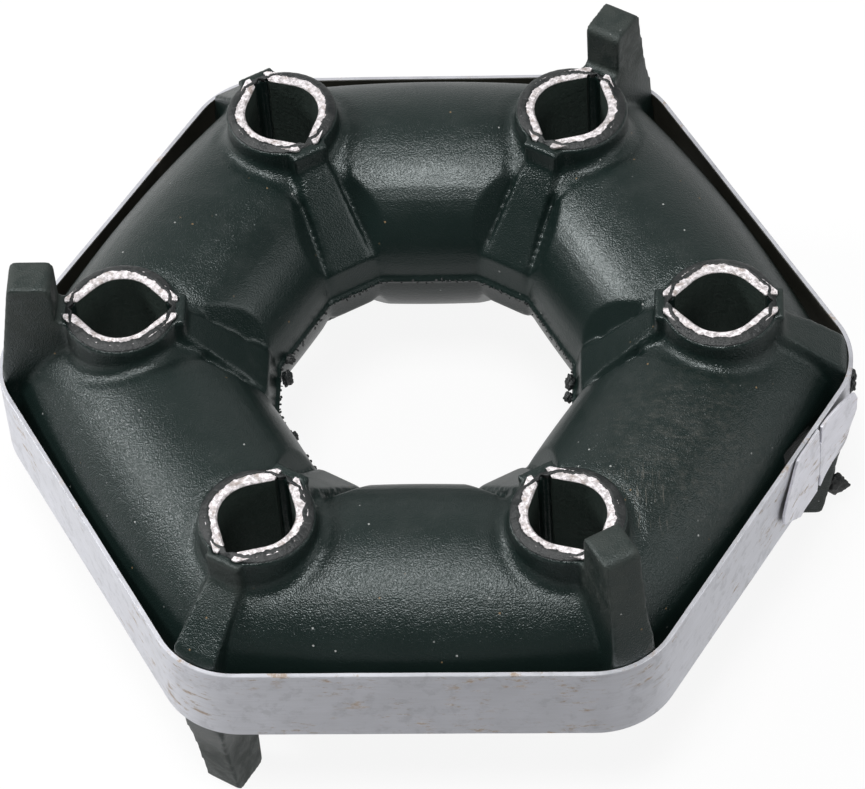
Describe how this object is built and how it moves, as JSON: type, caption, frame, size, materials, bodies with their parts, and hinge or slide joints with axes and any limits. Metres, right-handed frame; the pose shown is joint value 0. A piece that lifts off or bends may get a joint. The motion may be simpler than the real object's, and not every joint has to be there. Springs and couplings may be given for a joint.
{
  "type": "flexible disc coupling",
  "caption": "Hexagonal rubber flexible coupling for a propeller shaft, with split metal bolt sleeves, locating lugs and a steel fitting band closed by a crimped seal.",
  "frame": {"origin": "middle of the coupling, on its axis of rotation and halfway between the sleeves' ends", "axes": "+Z along the axis of rotation, +X through sleeve 1, whose lug points down; the band's seal is on the flat between sleeves 6 and 1"},
  "size_m": [0.1397, 0.124, 0.061],
  "materials": {
    "rubber": "satin, moulded, dusty",
    "band_steel": "galvanised, scratched, faint rust streaks",
    "seal_steel": "galvanised, crimped",
    "sleeve_steel": "rough cut ends, dull walls"
  },
  "bodies": {
    "root": {"rubber_body": "rubber", "retaining_band": "band_steel", "band_seal": "seal_steel", "sleeve_1_left": "sleeve_steel", "sleeve_1_right": "sleeve_steel", "sleeve_2_left": "sleeve_steel", "sleeve_2_right": "sleeve_steel", "sleeve_3_left": "sleeve_steel", "sleeve_3_right": "sleeve_steel", "sleeve_4_left": "sleeve_steel", "sleeve_4_right": "sleeve_steel", "sleeve_5_left": "sleeve_steel", "sleeve_5_right": "sleeve_steel", "sleeve_6_left": "sleeve_steel", "sleeve_6_right": "sleeve_steel"}
  },
  "joints": []
}
